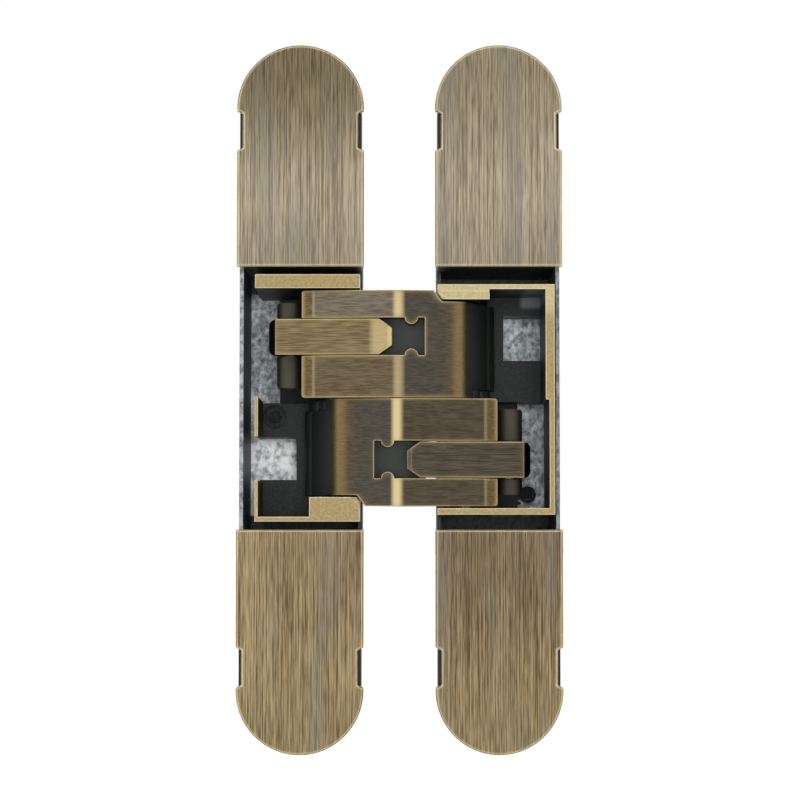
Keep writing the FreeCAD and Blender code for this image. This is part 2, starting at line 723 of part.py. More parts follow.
# Adjusters
adjuster_inset = size("adjuster_inset", 5.1, "axis of the side adjuster, from the outer side of the pocket")
adjuster_z = size("adjuster_z", 2.75, "axis of the side adjuster, below the middle")
adjuster_head = size("adjuster_head", 2.2, "radius of the side adjuster")
adjuster_length = size("adjuster_length", 7.8, "length of its head, let into the bed from the back")
adjuster_throw = size("adjuster_throw", 1.5, "throw of the eccentric peg")
adjuster_lean = size("adjuster_lean", 0.55, "how far the peg leans outwards as shown")
adjuster_peg = size("adjuster_peg", 1.2, "radius of the eccentric peg")
adjuster_play = size("adjuster_play", 0.05, "running clearance of the adjusters, on the radius")
peg_room = size("peg_room", 0.3, "room above and below the peg in its seat")
socket_flats = size("socket_flats", 2.5, "hexagon socket of the side adjuster, across flats")
socket_depth = size("socket_depth", 2.2, "depth of that socket")
wheel_inset = size("wheel_inset", 4.25, "axis of the height adjuster, from the outer side of the pocket")
wheel_z = size("wheel_z", 17.8, "axis of the height adjuster, from the middle")
wheel_head = size("wheel_head", 1.6, "radius of the head of the height adjuster")
wheel_head_thickness = size("wheel_head_thickness", 0.8, "thickness of that head")
wheel_flats = size("wheel_flats", 2.0, "hexagon socket of the height adjuster, across flats")
wheel_shaft = size("wheel_shaft", 0.9, "radius of the shaft of the height adjuster")
shaft_wall = size("shaft_wall", 0.4, "wall of the leaf body behind the adjusters")
pinion_radius = size("pinion_radius", 1.5, "pitch radius of the pinion of the height adjuster")
tooth_height = size("tooth_height", 0.25, "height of the teeth past the pitch line")
tooth_foot = size("tooth_foot", 0.45, "depth of the teeth behind the pitch line")
tooth_play = size("tooth_play", 0.04, "backlash, at each side of a rack tooth")
height_travel = size("height_travel", 2.7, "travel of the height adjustment, each way")
wheel_room = size("wheel_room", 0.2, "room around the height adjuster where it runs into the rim")

PINION_TEETH = 8
RACK_TEETH = 6
TOOTH_SLOPE = math.tan(math.radians(20))
FOOT_ANGLE, PITCH_ANGLE, TIP_ANGLE = 8.0, 9.8, 4.5

# Rims of the two carriers, each as it lies in the frame leaf
frame_gap = size("frame_carrier_gap", 2.2, "gap between the frame carrier and the outer wall")
frame_setback = size("frame_carrier_setback", 0.75, "how far the frame carrier stays inside the leaf")
frame_top_gap = size("frame_top_gap", 1.6, "gap past the frame carrier beside the link")
frame_bottom_gap = size("frame_bottom_gap", 1.7, "gap past the frame carrier beside the arm root")
frame_base = size("frame_base_rim", 0.9, "thickness of the rim at that end of the frame carrier")
frame_side = size("frame_side_rim", 0.6, "thickness of the outer rim of the frame carrier")
frame_side_end = size("frame_side_end", 0.2, "how far that rim reaches past the middle")
frame_plate_inset = size("frame_plate_inset", 3.6, "how far the back plate stays inside the outer rim")
frame_window = size("frame_window", 7.2, "width of the window, open to the outer side")
frame_window_near = size("frame_window_near", 6.8, "near edge of the window, from the middle")
frame_window_height = size("frame_window_height", 8.3, "height of the window")
frame_rim_shift = size("frame_rim_shift", 0.45, "how far the gap in the outer rim lies past the window")
door_gap = size("door_carrier_gap", 0.25, "gap between the door carrier and the outer wall")
door_setback = size("door_carrier_setback", 0.45, "how far the door carrier stays inside the leaf")
door_top_gap = size("door_top_gap", 3.0, "gap past the door carrier beside the link")
door_bottom_gap = size("door_bottom_gap", 3.5, "gap past the door carrier beside the arm root")
door_base = size("door_base_rim", 0.9, "thickness of the rim at that end of the door carrier")
door_side = size("door_side_rim", 1.7, "thickness of the outer rim beside the arm root")
door_side_end = size("door_side_end", 0.3, "how far that rim reaches past the middle")
door_thin_side = size("door_thin_side", 1.0, "thickness of the outer rim beside the link")
door_window_inset = size("door_window_inset", 1.3, "outer edge of the window, inside the carrier")
door_window = size("door_window", 7.7, "width of the window")
door_window_near = size("door_window_near", 8.2, "near edge of the window, from the middle")
door_window_height = size("door_window_height", 8.9, "height of the window")

doc.recompute()

adjuster_x = pocket_outer(frame_outer_wall) - adjuster_inset
wheel_x = pocket_outer(door_outer_wall) - wheel_inset
tooth_pitch = pinion_radius * (2 * math.pi / PINION_TEETH)
plate_depth = (carrier_back - carrier_plate, carrier_back)

through_bed = (bed_depth - overcut, carrier_back + overcut)
wheel_front = carrier_back - carrier_plate - 2 * seat_gap
wheel_top = wheel_front - wheel_head_thickness

frame_outer = pocket_outer(frame_outer_wall) - frame_gap
window_far = -frame_window_near - frame_window_height
window_height = (window_far, -frame_window_near)
frame_rim = {
    "outer": frame_outer,
    "inner": leaf_gap / 2 + frame_setback,
    "top": pocket_half - frame_top_gap,
    "bottom": pocket_half - frame_bottom_gap,
    "base": frame_base,
    "plate_outer": frame_outer - frame_plate_inset,
    "sides": [
        (frame_side, (-pocket_half + frame_bottom_gap, window_far - frame_rim_shift)),
        (frame_side, (-frame_window_near - frame_rim_shift, frame_side_end)),
    ],
    "recess": [],
    "teeth": [],
    "tools": [
        box((-frame_outer - overcut, -frame_outer + frame_window), through_bed, window_height),
        inward(-adjuster_x, -adjuster_z, through_bed, adjuster_head + adjuster_play),
    ],
}

door_outer = pocket_outer(door_outer_wall) - door_gap
window_edge = -door_outer + door_window_inset
wheel_clear = pinion_radius + tooth_height + wheel_room
door_rim = {
    "outer": door_outer,
    "inner": leaf_gap / 2 + door_setback,
    "top": pocket_half - door_top_gap,
    "bottom": pocket_half - door_bottom_gap,
    "base": door_base,
    "plate_outer": wheel_x - pinion_radius - tooth_foot,
    "sides": [
        (door_side, (-pocket_half + door_bottom_gap, door_side_end)),
        (door_thin_side, (as_size(0), pocket_half - door_top_gap)),
    ],
    "recess": [box((-wheel_x - wheel_clear, -wheel_x + wheel_clear),
                   (wheel_top - wheel_room, carrier_back + overcut),
                   (arm_edge, wheel_z + height_travel + wheel_clear))],
    "teeth": rack_teeth(pinion_radius - wheel_x, wheel_z, plate_depth, RACK_TEETH),
    "tools": [box((window_edge, window_edge + door_window), through_bed,
                  (-door_window_near - door_window_height, -door_window_near))],
}

peg_x = -adjuster_x - adjuster_lean
peg_z = -adjuster_z + root(adjuster_throw * adjuster_throw - adjuster_lean * adjuster_lean)
seat_side = adjuster_peg + adjuster_play
peg_seat = box((peg_x - seat_side, peg_x + seat_side), (pocket_floor - overcut, body_depth - shaft_wall),
               (peg_z - adjuster_peg - peg_room, peg_z + adjuster_peg + peg_room))
through_floor = (pocket_floor - overcut, body_depth + overcut)
shaft_seat = inward(-wheel_x, wheel_z, through_floor, wheel_shaft + adjuster_play)
leaf_body(False, peg_seat)
leaf_body(True, shaft_seat)

for turned, rim in ((False, frame_rim), (True, door_rim)):
    side = side_name(turned)
    carrier(turned, rim)
    pin(side + "_root_pin", -root_x, root_depth,
        (-rim["bottom"] + pin_wall, -arm_gap - pin_end_gap), root_pin, turned)
    pin(side + "_heel_pin", -heel_x, heel_depth,
        (-arm_gap - rib_thickness + pin_end_gap, rim["top"] - pin_wall), heel_pin, turned)
    for end in (1, -1):
        cover_plate(turned, end)
        cover_clip(turned, end)

for name, pin_name, turned in (("lower_arm", "lower_tip_pin", False), ("upper_arm", "upper_tip_pin", True)):
    arm(name, turned)
    pin(pin_name, tip_x, tip_depth, (-barrel_high + pin_end_gap, -barrel_low - pin_end_gap), tip_pin, turned)

link("upper_link", False)
link("lower_link", True)
pin("centre_pin", as_size(0), knuckle_depth, (-knuckle_pin_end, knuckle_pin_end), knuckle_pin)

head_front = carrier_back - adjuster_length
head = inward(-adjuster_x, -adjuster_z, (head_front, carrier_back), adjuster_head)
peg = inward(peg_x, peg_z, (carrier_back, body_depth - shaft_wall - seat_gap), adjuster_peg)
drive = hexagon(-adjuster_x, -adjuster_z, socket_flats, (head_front - overcut, head_front + socket_depth))
piece("side_adjuster", cut(fuse(head, peg), drive))

gear = pinion(-wheel_x, wheel_z, (wheel_front, carrier_back))
head = inward(-wheel_x, wheel_z, (wheel_top, wheel_front), wheel_head)
shaft = inward(-wheel_x, wheel_z, (wheel_front, body_depth - shaft_wall), wheel_shaft)
drive = hexagon(-wheel_x, wheel_z, wheel_flats, (wheel_top - overcut, wheel_front - seat_gap))
piece("height_adjuster", cut(fuse(gear, head, shaft), drive), True)

doc.recompute()

for thing in doc.Objects:
    if "Invalid" in thing.State or "Error" in thing.State:
        raise RuntimeError(f"{thing.Label} failed: {thing.State}")
names = [thing.Label for thing in pieces]
if len(set(names)) != len(names):
    raise RuntimeError("two pieces have the same name")
for thing in pieces:
    if thing.Shape.isNull() or not thing.Shape.isValid():
        raise RuntimeError(f"{thing.Label} is not a sound solid")
    if len(thing.Shape.Solids) != 1:
        raise RuntimeError(f"{thing.Label} is {len(thing.Shape.Solids)} solids")

os.makedirs("parts", exist_ok=True)
for thing in pieces:
    thing.Shape.exportStep(f"parts/{thing.Label}.step")
    print(thing.Label, round(thing.Shape.Volume, 1))
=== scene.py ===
"""A concealed door hinge in antique brass, open flat before a white backdrop.

Lengths are in metres. +X runs from the frame leaf to the door leaf, +Y into the
wood and +Z up. The fronts of the cover plates lie at Y = 0.
"""
import json
import math
import bmesh
import bpy
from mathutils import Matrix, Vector


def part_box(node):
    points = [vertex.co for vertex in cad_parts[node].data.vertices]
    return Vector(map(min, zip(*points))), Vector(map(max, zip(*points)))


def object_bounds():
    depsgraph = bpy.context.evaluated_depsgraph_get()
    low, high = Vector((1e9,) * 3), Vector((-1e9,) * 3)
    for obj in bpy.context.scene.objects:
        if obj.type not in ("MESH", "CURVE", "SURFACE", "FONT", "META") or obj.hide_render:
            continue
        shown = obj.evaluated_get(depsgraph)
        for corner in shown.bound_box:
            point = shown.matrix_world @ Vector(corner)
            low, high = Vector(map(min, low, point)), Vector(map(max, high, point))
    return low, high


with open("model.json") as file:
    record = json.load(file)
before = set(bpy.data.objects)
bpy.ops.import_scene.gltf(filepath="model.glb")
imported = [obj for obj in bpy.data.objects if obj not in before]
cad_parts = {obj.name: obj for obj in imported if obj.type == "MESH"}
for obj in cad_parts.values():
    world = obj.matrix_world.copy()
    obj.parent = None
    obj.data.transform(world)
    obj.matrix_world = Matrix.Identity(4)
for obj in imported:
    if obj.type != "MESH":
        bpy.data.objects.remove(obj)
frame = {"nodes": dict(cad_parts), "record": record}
cad_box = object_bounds()

MM = 0.001

# Framing of the photograph
PHOTO_WIDTH = 800
PIXELS_PER_MM = 5.31
HINGE_CENTRE_PIXEL = (399.5, 397.7)
CAMERA_DISTANCE = 480 * MM
CAMERA_BELOW = math.radians(3.0)
SENSOR_WIDTH = 36.0

# Half the width over which a finish changes at a line
SOFT = 0.1 * MM


def tone(red, green, blue):
    """A colour written as it looks on screen, 0 to 255, as the linear colour that shaders take."""
    def linear(part):
        part /= 255
        return part / 12.92 if part <= 0.04045 else ((part + 0.055) / 1.055) ** 2.4
    return (linear(red), linear(green), linear(blue), 1.0)


class Finish:
    """A material's node tree, with short calls for the nodes that the finishes share."""

    def __init__(self, name):
        self.material = bpy.data.materials.new(name)
        self.material.use_nodes = True
        self.nodes = self.material.node_tree.nodes
        self.shader = self.nodes["Principled BSDF"]
        self.coordinates = self.node("ShaderNodeTexCoord").outputs["Object"]

    def node(self, kind, **settings):
        made = self.nodes.new(kind)
        for setting, value in settings.items():
            setattr(made, setting, value)
        return made

    def feed(self, socket, value):
        """Link an output to a socket, or write a plain value on it."""
        if isinstance(value, bpy.types.NodeSocket):
            self.material.node_tree.links.new(value, socket)
        else:
            socket.default_value = value

    def set(self, **sockets):
        """Set sockets of the shader; an underscore stands for a space."""
        for name, value in sockets.items():
            self.feed(self.shader.inputs[name.replace("_", " ")], value)

    def maths(self, operation, first, second=0.0):
        step = self.node("ShaderNodeMath", operation=operation)
        self.feed(step.inputs[0], first)
        self.feed(step.inputs[1], second)
        return step.outputs[0]

    def product(self, value, *others):
        for other in others:
            value = self.maths("MULTIPLY", value, other)
        return value

    def most(self, value, *others):
        for other in others:
            value = self.maths("MAXIMUM", value, other)
        return value

    def rise(self, value, start, end, low=0.0, high=1.0):
        """Go from low to high while value goes from start to end."""
        step = self.node("ShaderNodeMapRange", interpolation_type="SMOOTHSTEP")
        for socket, amount in zip(("Value", "From Min", "From Max", "To Min", "To Max"),
                                  (value, start, end, low, high)):
            self.feed(step.inputs[socket], amount)
        return step.outputs["Result"]

    def mix(self, factor, first, second):
        step = self.node("ShaderNodeMix", data_type="RGBA")
        self.feed(step.inputs["Factor"], factor)
        self.feed(step.inputs["A"], first)
        self.feed(step.inputs["B"], second)
        return step.outputs["Result"]

    def axis(self, name):
        split = self.node("ShaderNodeSeparateXYZ")
        self.feed(split.inputs[0], self.coordinates)
        return split.outputs[name]

    def noise(self, grain, detail=2.0, roughness=0.5, shift=0.0):
        """Noise whose grains have the given size along X, Y and Z."""
        place = self.node("ShaderNodeMapping")
        self.feed(place.inputs["Vector"], self.coordinates)
        place.inputs["Scale"].default_value = [1 / size for size in grain]
        place.inputs["Location"].default_value = (shift, shift, shift)
        step = self.node("ShaderNodeTexNoise")
        self.feed(step.inputs["Vector"], place.outputs["Vector"])
        step.inputs["Scale"].default_value = 1.0
        step.inputs["Detail"].default_value = detail
        step.inputs["Roughness"].default_value = roughness
        return step.outputs["Fac"]

    def rounded_normal(self, radius):
        step = self.node("ShaderNodeBevel", samples=6)
        step.inputs["Radius"].default_value = radius
        return step.outputs["Normal"]

    def edges(self, radius, full, none=0.0):
        """One near an edge and nothing on the flats, from how far rounding turns the normal.

        The turn goes from 0 to 1 with 1 at a right angle; full and none are the turns where the
        edge shows fully and not at all.
        """
        flat = self.node("ShaderNodeNewGeometry").outputs["True Normal"]
        dot = self.node("ShaderNodeVectorMath", operation="DOT_PRODUCT")
        self.feed(dot.inputs[0], self.rounded_normal(radius))
        self.feed(dot.inputs[1], flat)
        turn = self.maths("SUBTRACT", 1.0, dot.outputs["Value"])
        return self.rise(turn, none, full)

    def relief(self, height, depth, normal=None):
        step = self.node("ShaderNodeBump")
        step.inputs["Strength"].default_value = 1.0
        step.inputs["Distance"].default_value = depth
        self.feed(step.inputs["Height"], height)
        if normal is not None:
            self.feed(step.inputs["Normal"], normal)
        return step.outputs["Normal"]

    def band(self, value, edges):
        """One between the two middle edges, falling to nothing at the outer two."""
        return self.product(self.rise(value, edges[0], edges[1]),
                            self.rise(value, edges[3], edges[2]))

    def side(self, name, low=0.0, high=1.0):
        """High on the positive side of an axis and low on the other."""
        return self.rise(self.axis(name), -SOFT, SOFT, low, high)


# Width of the brushing marks and their share in the tone
FINE_WIDTH, FINE_SHARE = 0.22 * MM, 0.55
BROAD_WIDTH, BROAD_SHARE = 1.1 * MM, 0.13
GRIT_WIDTH, GRIT_SHARE = 0.24 * MM, 0.32
# Noise values that give the dark and the light of the marks
MARK_RANGE = (0.38, 0.62)


class BrushedBrass(Finish):
    """Antique brass brushed along one axis, its marks about as long as given."""

    def __init__(self, name, direction, mark_length):
        super().__init__(name)
        self.direction = direction
        self.fine = self.marks(FINE_WIDTH, mark_length, detail=3.0, roughness=0.6)
        broad = self.marks(BROAD_WIDTH, 2 * mark_length, detail=1.0, shift=7.0)
        grit = self.marks(GRIT_WIDTH, mark_length / 6, shift=3.0)
        level = self.maths("ADD", self.product(self.fine, FINE_SHARE), self.product(broad, BROAD_SHARE))
        level = self.maths("ADD", level, self.product(grit, GRIT_SHARE))
        self.contrast = self.rise(level, *MARK_RANGE)

    def marks(self, width, length, **settings):
        return self.noise([length if axis == self.direction else width for axis in "XYZ"], **settings)

    def marked(self, dark, light):
        """Two colours mixed as the brushing marks go."""
        return self.mix(self.contrast, dark, light)

    def complete(self, colour, roughness, mark_depth, edge_radius):
        self.set(Base_Color=colour, Metallic=1.0, Roughness=roughness,
                 Normal=self.relief(self.fine, mark_depth, self.rounded_normal(edge_radius)))
        return self.material


COVER_MARK_LENGTH = 30 * MM
COVER_MARK_DEPTH = 0.02 * MM
COVER_EDGE_WIDTH = 0.6 * MM
# Where painted shade darkens the covers along their height and from left to right
UPPER_LOW_SHADE = (38 * MM, 26 * MM)
UPPER_TOP_SHADE = (34 * MM, 62 * MM)
UPPER_SHADE_RIGHT_TO_LEFT = (25 * MM, -20 * MM)
LOWER_SHADE = (-52 * MM, -34 * MM)
LOWER_SHADE_LEFT_TO_RIGHT = (-36 * MM, 14 * MM)
# Dark and light of their marks
UPPER_MARKS = (tone(117, 106, 88), tone(189, 176, 152))
UPPER_LOW_SHADE_MARKS = (tone(90, 82, 68), tone(142, 132, 113))
UPPER_TOP_SHADE_MARKS = (tone(70, 62, 46), tone(138, 126, 97))
LOWER_MARKS = (tone(89, 75, 50), tone(171, 152, 115))
LOWER_SHADE_MARKS = (tone(77, 65, 48), tone(143, 127, 101))
COVER_PATINA = tone(122, 121, 114)
COVER_GOLD = tone(216, 200, 158)


def cover_finish():
    """Greyer on the upper plates, browner below, painted shade at the top and lower right, a gold edge."""
    finish = BrushedBrass("antique_brass_brushed_upright", "Z", COVER_MARK_LENGTH)
    across, height = finish.axis("X"), finish.axis("Z")
    # Painted shade: the upper plates darken low down and at the top left, the lower ones at the upper right
    dull = finish.rise(height, *UPPER_LOW_SHADE, 0.0, 0.35)
    upper = finish.mix(dull, finish.marked(*UPPER_MARKS), finish.marked(*UPPER_LOW_SHADE_MARKS))
    dark = finish.product(finish.rise(height, *UPPER_TOP_SHADE),
                          finish.rise(across, *UPPER_SHADE_RIGHT_TO_LEFT, 0.45, 0.95))
    upper = finish.mix(dark, upper, finish.marked(*UPPER_TOP_SHADE_MARKS))
    dark = finish.product(finish.rise(across, *LOWER_SHADE_LEFT_TO_RIGHT),
                          finish.rise(height, *LOWER_SHADE, 0.25, 1.0))
    lower = finish.mix(dark, finish.marked(*LOWER_MARKS), finish.marked(*LOWER_SHADE_MARKS))
    colour = finish.mix(finish.side("Z"), lower, upper)
    patina = finish.noise([6 * MM, 6 * MM, 60 * MM], detail=1.0, shift=2.0)
    colour = finish.mix(finish.rise(patina, 0.5, 0.68, 0.0, 0.35), colour, COVER_PATINA)
    colour = finish.mix(finish.edges(COVER_EDGE_WIDTH, 0.1), colour, COVER_GOLD)
    roughness = finish.rise(finish.contrast, 0.0, 1.0, 0.46, 0.36)
    return finish.complete(colour, roughness, COVER_MARK_DEPTH, 0.3 * MM)


ARM_MARK_LENGTH = 90 * MM
ARM_MARK_DEPTH = 0.01 * MM
ARM_EDGE_WIDTH = 0.4 * MM
BEVEL_WIDTH = 1.8 * MM
# Where the arms change from face to ridge, bend, bevel and barrel, from the middle of the hinge
RIDGE = (-1.4 * MM, -0.3 * MM, 0.2 * MM, 1.5 * MM)
RIDGE_MIDDLES = (-0.5 * MM, -0.2 * MM)
RIDGE_HIGHLIGHT_TOP = (13 * MM, 16 * MM)
TOP_TINE_LIGHT = (9 * MM, 12 * MM)
ROOT_BEND = (7.6 * MM, 11.4 * MM)
ROOT_HIGHLIGHT_BAND = (9.4 * MM, 11.0 * MM, 11.6 * MM, 12.4 * MM)
FORK_SEAM = (15.8 * MM, 16.15 * MM, 16.35 * MM, 16.7 * MM)
FORK_BEND = FORK_SEAM[2:]
FORK_EDGE = (17.6 * MM, 18.3 * MM)
FORK_END = (18.4 * MM, 18.6 * MM)
ARM_BACK = (2.2 * MM, 3.4 * MM)
# Dark and light of their marks
ROOT_MARKS = (tone(66, 62, 55), tone(84, 79, 70))
TINE_MARKS = (tone(86, 74, 55), tone(115, 101, 79))
LIT_TOP_TINE_MARKS = (tone(90, 83, 70), tone(126, 117, 103))
SHADED_LOWER_TINE_MARKS = (tone(66, 58, 46), tone(86, 78, 64))
BEND_SHADING_MARKS = (tone(80, 67, 42), tone(106, 91, 62))
BARREL_PATINA_AND_SHADE_MARKS = (tone(52, 50, 41), tone(76, 72, 60))
ARM_GOLD_LINES_AND_HIGHLIGHT = tone(172, 151, 106)
RIDGE_WEAR_AND_HIGHLIGHT = tone(220, 201, 150)
ARM_BEVEL_SHADING = tone(146, 124, 80)
WORN_EDGE = tone(196, 178, 132)
ARM_SHADE_BEHIND = tone(86, 90, 87)
BARREL_SHADE_BEHIND = tone(76, 74, 64)


def arm_finish():
    """Brown faces, a worn ridge with a painted highlight, painted shading and gold lines at the ends, painted
    shade behind.
    """
    finish = BrushedBrass("antique_brass_arms", "X", ARM_MARK_LENGTH)
    x, z = finish.axis("X"), finish.axis("Z")
    from_middle = finish.maths("ABSOLUTE", x)
    # The forks lie where X and Z have opposite signs, the roots where they have the same
    fork_half = finish.rise(finish.product(x, z), 0.2 * MM * MM, -0.2 * MM * MM)
    root_half = finish.maths("SUBTRACT", 1.0, fork_half)
    # Painted light: the upper arm's tines lit lighter at the top, the lower arm's tines shaded darker
    upper_tine = finish.mix(finish.rise(z, *TOP_TINE_LIGHT),
                            finish.marked(*TINE_MARKS), finish.marked(*LIT_TOP_TINE_MARKS))
    tine = finish.mix(finish.side("Z"), finish.marked(*SHADED_LOWER_TINE_MARKS), upper_tine)
    colour = finish.mix(fork_half, finish.marked(*ROOT_MARKS), tine)

    # Painted shading: the bends at the fork and root ends are given a darker bronze
    fork_bend = finish.product(finish.rise(from_middle, *FORK_BEND), fork_half)
    root_bend = finish.product(finish.rise(from_middle, *ROOT_BEND), root_half)
    painted_bend_shading = finish.product(finish.most(fork_bend, root_bend), 0.85)
    colour = finish.mix(painted_bend_shading, colour, finish.marked(*BEND_SHADING_MARKS))
    # Gold lines at the fork's seam and rim, and a painted highlight along the root's rounding
    seam = finish.product(finish.band(from_middle, FORK_SEAM), fork_half)
    rim = finish.product(finish.rise(from_middle, *FORK_EDGE), fork_half)
    root_highlight = finish.product(finish.band(from_middle, ROOT_HIGHLIGHT_BAND), finish.maths("SUBTRACT", 0.6, fork_half))
    colour = finish.mix(finish.product(finish.most(seam, rim, root_highlight), 0.4), colour, ARM_GOLD_LINES_AND_HIGHLIGHT)

    # A worn ridge with a painted highlight, strongest on the lower arm and higher up on the upper one
    beside_ridge = finish.maths("SUBTRACT", x, finish.side("Z", *RIDGE_MIDDLES))
    ridge_highlight_strength = finish.most(finish.rise(z, *RIDGE_HIGHLIGHT_TOP, 0.42, 0.72), finish.side("Z", 0.83, 0.0))
    ridge = finish.product(finish.band(beside_ridge, RIDGE), ridge_highlight_strength)
    colour = finish.mix(ridge, colour, RIDGE_WEAR_AND_HIGHLIGHT)
    # The barrels are painted darker, partly their patina and partly painted shade where they sit deep
    on_barrel = finish.rise(from_middle, *FORK_END)
    colour = finish.mix(on_barrel, colour, finish.marked(*BARREL_PATINA_AND_SHADE_MARKS))
    # Painted shading on the rounded bevels, stronger on the upper arm
    bevel = finish.product(finish.edges(BEVEL_WIDTH, 0.25), finish.side("Z", 0.25, 0.65))
    colour = finish.mix(bevel, colour, ARM_BEVEL_SHADING)
    worn = finish.product(finish.edges(ARM_EDGE_WIDTH, 0.14), 0.9)
    colour = finish.mix(worn, colour, WORN_EDGE)

    # Painted shade on the faces that lie deeper than the front
    behind = finish.rise(finish.axis("Y"), *ARM_BACK)
    colour = finish.mix(behind, colour, finish.mix(on_barrel, ARM_SHADE_BEHIND, BARREL_SHADE_BEHIND))
    dull = finish.most(on_barrel, root_bend, behind)
    roughness = finish.rise(dull, 0.0, 1.0, 0.4, 0.6)
    return finish.complete(colour, roughness, ARM_MARK_DEPTH, 0.25 * MM)


LINK_EDGE_WIDTH = 0.45 * MM
LINK_STEP = 23.45 * MM
LINK_NOSE = (6.2 * MM, 4.6 * MM)
LIT_UPPER_LINK_MARKS = (tone(98, 84, 60), tone(138, 122, 91))
SHADED_LOWER_LINK_MARKS = (tone(62, 56, 46), tone(88, 81, 69))
NOSE_HIGHLIGHT = tone(204, 184, 134)
LINK_BEVEL_SHADING = tone(156, 134, 90)
LINK_SHADE_BLACK = tone(40, 42, 41)


def link_finish():
    """Painted light: upper link lit gold with a painted highlight on its nose, lower one shaded brown, round
    end shaded.
    """
    finish = BrushedBrass("antique_brass_links", "X", ARM_MARK_LENGTH)
    from_middle = finish.maths("ABSOLUTE", finish.axis("X"))
    # Painted light: the upper link lit gold with a painted highlight on its nose, the lower one shaded brown
    upper = finish.mix(finish.rise(from_middle, *LINK_NOSE, 0.0, 0.6),
                       finish.marked(*LIT_UPPER_LINK_MARKS), NOSE_HIGHLIGHT)
    colour = finish.mix(finish.side("Z"), finish.marked(*SHADED_LOWER_LINK_MARKS), upper)
    # Painted shading on the rounded bevels, stronger on the upper link
    bevel = finish.product(finish.edges(BEVEL_WIDTH, 0.25), finish.rise(finish.axis("Z"), -MM, MM, 0.3, 0.65))
    colour = finish.mix(bevel, colour, LINK_BEVEL_SHADING)
    colour = finish.mix(finish.edges(LINK_EDGE_WIDTH, 0.16), colour, WORN_EDGE)
    # Painted shade on the round end and on the faces behind
    round_end = finish.rise(from_middle, LINK_STEP, LINK_STEP + SOFT)
    behind = finish.rise(finish.axis("Y"), *ARM_BACK)
    colour = finish.mix(finish.most(round_end, behind), colour, LINK_SHADE_BLACK)
    roughness = finish.rise(finish.contrast, 0.0, 1.0, 0.44, 0.36)
    return finish.complete(colour, roughness, ARM_MARK_DEPTH, 0.3 * MM)


CARRIER_EDGE_WIDTH = 0.35 * MM
RIM_DEPTH = (1.1 * MM, 1.5 * MM)
BRIGHT_CORNER_X = (2 * MM, 8 * MM)
BRIGHT_CORNER_Z = (14 * MM, 18 * MM)
SHEEN_PATCH_X = (23.2 * MM, 24.4 * MM, 28 * MM, 29 * MM)
SHEEN_PATCH_Z = (18 * MM, 19.2 * MM, 22.4 * MM, 23.4 * MM)
RIM_TONES = (tone(150, 132, 92), tone(172, 154, 114))
BRIGHT_RIM_TONES = (tone(180, 166, 124), tone(196, 183, 142))
CARRIER_BLACKS = (tone(28, 31, 30), tone(39, 42, 40))
RIM_EDGE = tone(226, 212, 170)
PAINTED_SHEEN = tone(112, 118, 120)


def carrier_finish():
    """Gold on the front rims, near black in the pocket, with a painted sheen on the door side."""
    finish = Finish("antique_brass_rims")
    grain = finish.noise([0.5 * MM] * 3, detail=3.0)
    speckle = finish.rise(grain, 0.3, 0.7)
    across, height = finish.axis("X"), finish.axis("Z")
    corner = finish.product(finish.rise(across, *BRIGHT_CORNER_X), finish.rise(height, *BRIGHT_CORNER_Z))
    rim = finish.mix(corner, finish.mix(speckle, *RIM_TONES), finish.mix(speckle, *BRIGHT_RIM_TONES))
    rim = finish.mix(finish.edges(CARRIER_EDGE_WIDTH, 0.14), rim, RIM_EDGE)
    # A painted sheen on the door carrier's bed
    patch = finish.product(finish.band(across, SHEEN_PATCH_X), finish.band(height, SHEEN_PATCH_Z), 0.8)
    black = finish.mix(patch, finish.mix(speckle, *CARRIER_BLACKS), PAINTED_SHEEN)
    inside = finish.rise(finish.axis("Y"), *RIM_DEPTH)
    finish.set(Base_Color=finish.mix(inside, rim, black), Metallic=finish.rise(inside, 0.0, 1.0, 1.0, 0.1),
               Roughness=0.45, Specular_IOR_Level=0.3,
               Normal=finish.relief(grain, 0.015 * MM, finish.rounded_normal(0.2 * MM)))
    return finish.material


POCKET_HALF_HEIGHT = 25 * MM
BARE_FLOOR_HALF_HEIGHT = 22.2 * MM
FLOOR_WALL = 1.8 * MM
OUTER_RIM_WIDTH = 0.8 * MM
OUTER_RIM_DEPTH = (2.2 * MM, 1.8 * MM)
ZINC_TONES = (tone(84, 91, 95), tone(226, 231, 233))
ZINC_CLOUD = tone(104, 112, 115)
LIT_ZINC_TONES = (tone(128, 136, 141), tone(255, 255, 255))
LACQUER_TONES = (tone(24, 25, 25), tone(38, 40, 40))
POCKET_TONES = (tone(46, 50, 52), tone(74, 80, 81))
WORN_RIM_TONES = (tone(80, 84, 86), tone(156, 160, 161))


def body_areas(finish):
    """Where a body is pocket, pocket floor and outer rim, none of them on its back or outer side."""
    low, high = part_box("frame_leaf_body")
    outer, inner, back = -low.x, -high.x, high.y
    across = finish.maths("ABSOLUTE", finish.axis("X"))
    up = finish.maths("ABSOLUTE", finish.axis("Z"))
    depth = finish.axis("Y")
    between_walls = finish.band(across, (inner + SOFT, inner + 2 * SOFT, outer - 2 * SOFT, outer - SOFT))
    inside = finish.product(between_walls, finish.rise(depth, back - 2 * SOFT, back - 3 * SOFT))
    beside_pocket = finish.rise(up, POCKET_HALF_HEIGHT + 2 * SOFT, POCKET_HALF_HEIGHT)
    floor_depth = back - FLOOR_WALL
    at_floor = finish.band(depth, (floor_depth - 3 * SOFT, floor_depth - SOFT,
                                   floor_depth + SOFT, floor_depth + 2 * SOFT))
    bare_height = finish.rise(up, BARE_FLOOR_HALF_HEIGHT, BARE_FLOOR_HALF_HEIGHT - 4 * SOFT)
    outer_rim = outer - OUTER_RIM_WIDTH
    at_rim = finish.product(finish.rise(across, outer_rim - SOFT, outer_rim),
                            finish.rise(depth, *OUTER_RIM_DEPTH))
    return (finish.product(inside, beside_pocket), finish.product(at_floor, bare_height, inside),
            finish.product(at_rim, beside_pocket))


